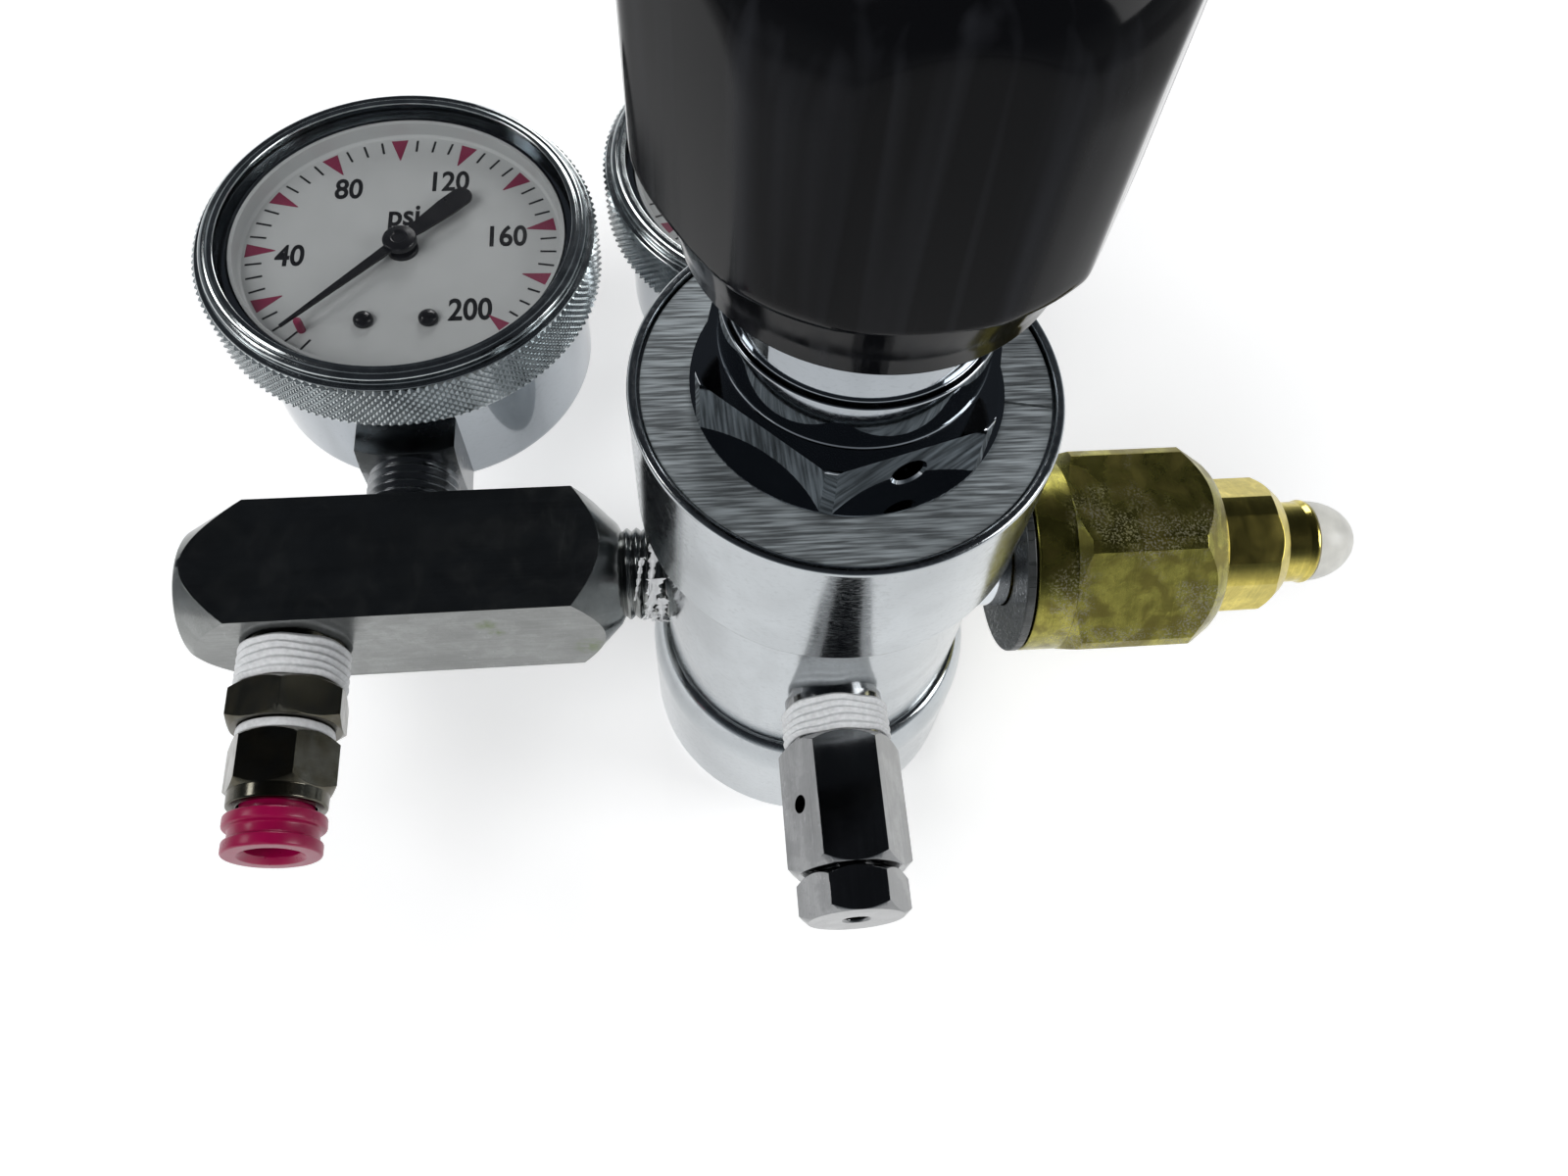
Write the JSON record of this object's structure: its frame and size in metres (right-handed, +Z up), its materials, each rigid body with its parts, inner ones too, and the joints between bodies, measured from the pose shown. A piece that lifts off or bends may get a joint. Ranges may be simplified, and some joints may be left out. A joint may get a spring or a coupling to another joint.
{
  "type": "oxygen regulator",
  "caption": "Chromed gas pressure regulator with a turning adjuster knob, two dial gauges, a side manifold with hose outlet, a relief valve and a brass nut inlet.",
  "frame": {"origin": "centre of the base cap's flat underside, on the main axis", "axes": "+Z up the main axis to the adjusting knob, +X along the inlet, -Y along the relief valve"},
  "size_m": [0.1701, 0.1418, 0.1479],
  "materials": {
    "chrome_plate": "polished chrome plate",
    "knurled_chrome": "chrome plate over a fine diamond knurl",
    "brushed_plate": "grey metal brushed in straight lines",
    "block_nickel": "nickel-plated brass bar, rubbed and scratched",
    "dark_nickel": "dark nickel plate",
    "relief_nickel": "nickel plate, glossy on top and satin at the sides",
    "plated_socket": "bright plated brass",
    "tarnished_brass": "tarnished brass, scratched on the flats",
    "bright_brass": "machined brass",
    "inner_brass": "machined brass",
    "spring_steel": "plain steel",
    "washer_steel": "dark oxidised metal",
    "black_plastic": "glossy black moulding",
    "black_enamel": "black enamel",
    "black_screw": "black oxide screw",
    "dial_enamel": "pale enamel with printed scale",
    "window": "clear moulded window",
    "red_plastic": "crimson moulding",
    "sealing_tape": "white thread tape",
    "tip_plastic": "translucent off-white moulding",
    "rubber": "black rubber"
  },
  "bodies": {
    "housing": {"base_cap": "chrome_plate", "body": "chrome_plate", "bonnet": "chrome_plate", "label_ring": "brushed_plate", "main_spring": "spring_steel", "seat_nozzle": "inner_brass", "valve_plug": "inner_brass", "poppet_spring": "spring_steel", "manifold_block": "block_nickel", "outlet_thread_tape": "sealing_tape", "outlet_bushing": "dark_nickel", "outlet_body": "dark_nickel", "outlet_o_ring": "rubber", "grip_ring": "spring_steel", "relief_thread_tape": "sealing_tape", "relief_body": "relief_nickel", "relief_cap": "relief_nickel", "relief_spring": "spring_steel", "inlet_nipple": "bright_brass", "nose_tip": "tip_plastic", "inlet_filter": "inner_brass", "delivery_gauge_case": "chrome_plate", "delivery_gauge_bezel": "knurled_chrome", "delivery_gauge_window": "window", "delivery_gauge_dial": "dial_enamel", "delivery_dial_screw_left": "black_screw", "delivery_dial_screw_right": "black_screw", "delivery_gauge_socket": "plated_socket", "delivery_bourdon_tube": "inner_brass", "delivery_gauge_movement": "inner_brass", "contents_gauge_case": "chrome_plate", "contents_gauge_bezel": "knurled_chrome", "contents_gauge_window": "window", "contents_gauge_dial": "dial_enamel", "contents_dial_screw_left": "black_screw", "contents_dial_screw_right": "black_screw", "contents_gauge_socket": "plated_socket", "contents_bourdon_tube": "inner_brass", "contents_gauge_movement": "inner_brass"},
    "adjuster": {"spring_button": "spring_steel"},
    "knob": {"adjusting_knob": "black_plastic", "adjusting_screw": "spring_steel"},
    "valve_train": {"diaphragm": "rubber", "diaphragm_plate": "inner_brass", "poppet": "inner_brass"},
    "relief_valve": {"relief_poppet": "inner_brass"},
    "collet": {"release_collet": "red_plastic"},
    "washer": {"nut_washer": "washer_steel"},
    "nut": {"inlet_nut": "tarnished_brass"},
    "delivery_pointer": {"delivery_gauge_pointer": "black_enamel", "delivery_gauge_arbor": "spring_steel"},
    "contents_pointer": {"contents_gauge_pointer": "black_enamel", "contents_gauge_arbor": "spring_steel"}
  },
  "joints": [
    {"name": "adjuster_travel", "type": "slide", "parent": "housing", "child": "adjuster", "axis": [0, 0, -1], "range_m": [0, 0.00599], "deforming": ["main_spring"]},
    {"name": "knob_turn", "type": "hinge", "parent": "adjuster", "child": "knob", "pos_m": [0, 0, 0.12], "axis": [0, 0, -1], "range_deg": [0, 1440]},
    {"name": "valve_lift", "type": "slide", "parent": "housing", "child": "valve_train", "axis": [0, 0, -1], "range_m": [0, 0.00025], "stiffness_N_per_m": 2000, "springref_m": -0.002, "deforming": ["poppet_spring"]},
    {"name": "relief_lift", "type": "slide", "parent": "housing", "child": "relief_valve", "axis": [0, -1, 0], "range_m": [0, 0.00025], "stiffness_N_per_m": 2000, "springref_m": -0.002},
    {"name": "collet_press", "type": "slide", "parent": "housing", "child": "collet", "axis": [0, 1, 0], "range_m": [0, 0.0008], "stiffness_N_per_m": 1500, "springref_m": -0.001},
    {"name": "nut_slide", "type": "slide", "parent": "housing", "child": "washer", "axis": [1, 0, 0], "range_m": [-0.0045, 0.0138]},
    {"name": "nut_turn", "type": "hinge", "parent": "washer", "child": "nut", "pos_m": [0.03, 0, 0.0401], "axis": [1, 0, 0], "continuous": true},
    {"name": "delivery_pointer_turn", "type": "hinge", "parent": "housing", "child": "delivery_pointer", "pos_m": [-0.0593, 0.04832, 0.0401], "axis": [0, 0, -1], "range_deg": [0, 265], "stiffness_Nm_per_rad": 0.0004, "springref_deg": -17.19},
    {"name": "contents_pointer_turn", "type": "hinge", "parent": "housing", "child": "contents_pointer", "pos_m": [0, 0.0613, 0.0401], "axis": [0, 0, -1], "range_deg": [0, 265], "stiffness_Nm_per_rad": 0.0004, "springref_deg": -17.19}
  ],
  "couplings": [
    {"joint": "knob_turn", "follows": "adjuster_travel", "rad_per_m": 4188.8}
  ]
}
